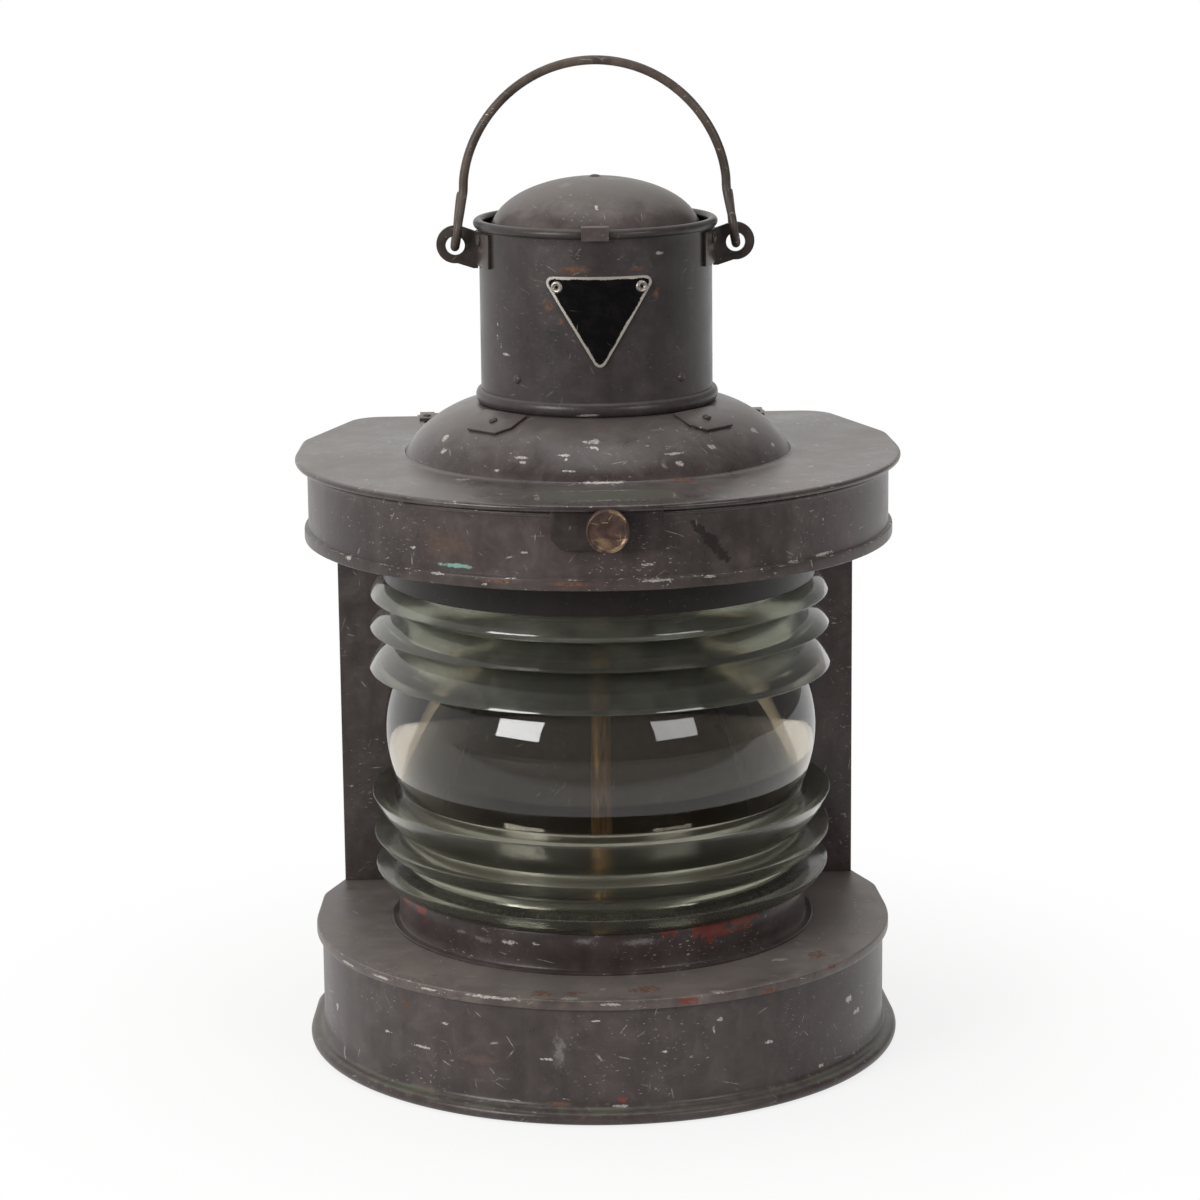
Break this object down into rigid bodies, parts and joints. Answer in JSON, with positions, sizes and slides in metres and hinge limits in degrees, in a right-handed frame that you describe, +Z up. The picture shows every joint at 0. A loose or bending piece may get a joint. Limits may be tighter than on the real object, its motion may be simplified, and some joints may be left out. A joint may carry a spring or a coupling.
{
  "type": "ship masthead lantern",
  "caption": "Ship's masthead oil lantern: round-fronted sheet-metal body, drum-shaped prism lens, hinged roof with capped chimney and wire bail, oil lamp inside.",
  "frame": {"origin": "on the axis of the drum lens, in the plane of the foot", "axes": "+Z up, the round lens front faces -Y, the flat back faces +Y, +X to the right seen from behind"},
  "size_m": [0.3198, 0.2927, 0.5272],
  "materials": {
    "body_paint": "aged satin paint with chips and rust",
    "base_top_paint": "aged satin paint, worn and dusty on top",
    "skirt_paint": "aged satin paint with scratches along the hem",
    "roof_paint": "chalky weathered paint",
    "chimney_paint": "aged satin paint with scratches and chips",
    "cap_paint": "aged satin paint",
    "collar_paint": "dark paint over red primer",
    "keeper_paint": "aged satin paint",
    "hardware_paint": "aged paint over steel",
    "bail_wire": "worn dark finish on steel wire",
    "plate_black": "glossy black with a worn bright border",
    "bare_metal": "dull bare steel",
    "knob_brass": "brown patina with worn bright places",
    "lamp_brass": "tarnished brass",
    "lens_glass": "clear old glass with a grey-green tint",
    "putty": "dry hard putty",
    "wick_fabric": "woven cotton"
  },
  "bodies": {
    "housing": {"base_floor": "body_paint", "base_wall": "body_paint", "base_top": "base_top_paint", "lower_collar": "collar_paint", "lens_bed": "putty", "lens": "lens_glass", "lens_packing": "putty", "upper_collar": "body_paint", "lens_stiles": "body_paint", "screen_plate": "body_paint", "back_housing": "body_paint", "skirt_deck": "body_paint", "skirt_band": "skirt_paint", "latch_stud": "lamp_brass", "skirt_hinge_leaves": "hardware_paint", "hinge_pins": "bare_metal", "hinge_rivets": "hardware_paint", "oil_font": "lamp_brass", "font_ring": "bare_metal", "filler_neck": "lamp_brass", "burner": "lamp_brass", "wick_tube": "lamp_brass"},
    "lid": {"roof_plate": "roof_paint", "roof_hinge_leaves": "hardware_paint", "roof_hinge_rivets": "hardware_paint", "keeper_plate": "keeper_paint", "chimney": "chimney_paint", "chimney_band": "chimney_paint", "chimney_rivets": "chimney_paint", "dome_lugs": "roof_paint", "lug_rivets": "roof_paint", "cap_dome": "cap_paint", "cap_strap": "cap_paint", "cap_rivet": "cap_paint", "front_plate": "plate_black", "plate_eyelets": "bare_metal", "ear_left": "hardware_paint", "ear_right": "hardware_paint", "ear_rivets": "hardware_paint"},
    "bail": {"bail": "bail_wire"},
    "knob": {"latch_knob": "knob_brass"},
    "filler_cap": {"filler_cap": "lamp_brass"},
    "wick_wheel": {"wick_wheel": "lamp_brass"},
    "wick": {"wick": "wick_fabric"}
  },
  "joints": [
    {"name": "lid_hinge", "type": "hinge", "parent": "housing", "child": "lid", "pos_m": [0, 0.124, 0.317], "axis": [-1, 0, 0], "range_deg": [0, 95]},
    {"name": "bail_swing", "type": "hinge", "parent": "lid", "child": "bail", "pos_m": [0, 0, 0.43725], "axis": [1, 0, 0], "range_deg": [-120, 120]},
    {"name": "latch_turn", "type": "hinge", "parent": "housing", "child": "knob", "pos_m": [0, -0.1605, 0.308], "axis": [0, -1, 0], "continuous": true},
    {"name": "filler_turn", "type": "hinge", "parent": "housing", "child": "filler_cap", "pos_m": [0, -0.04, 0.052], "axis": [0, 0, 1], "continuous": true},
    {"name": "wick_turn", "type": "hinge", "parent": "housing", "child": "wick_wheel", "pos_m": [0, -0.0081, 0.0642], "axis": [1, 0, 0], "range_deg": [-60, 120]},
    {"name": "wick_raise", "type": "slide", "parent": "housing", "child": "wick", "axis": [0, 0, 1], "range_m": [-0.0036, 0.0072]}
  ],
  "couplings": [
    {"joint": "wick_raise", "follows": "wick_turn", "m_per_rad": 0.0033}
  ]
}
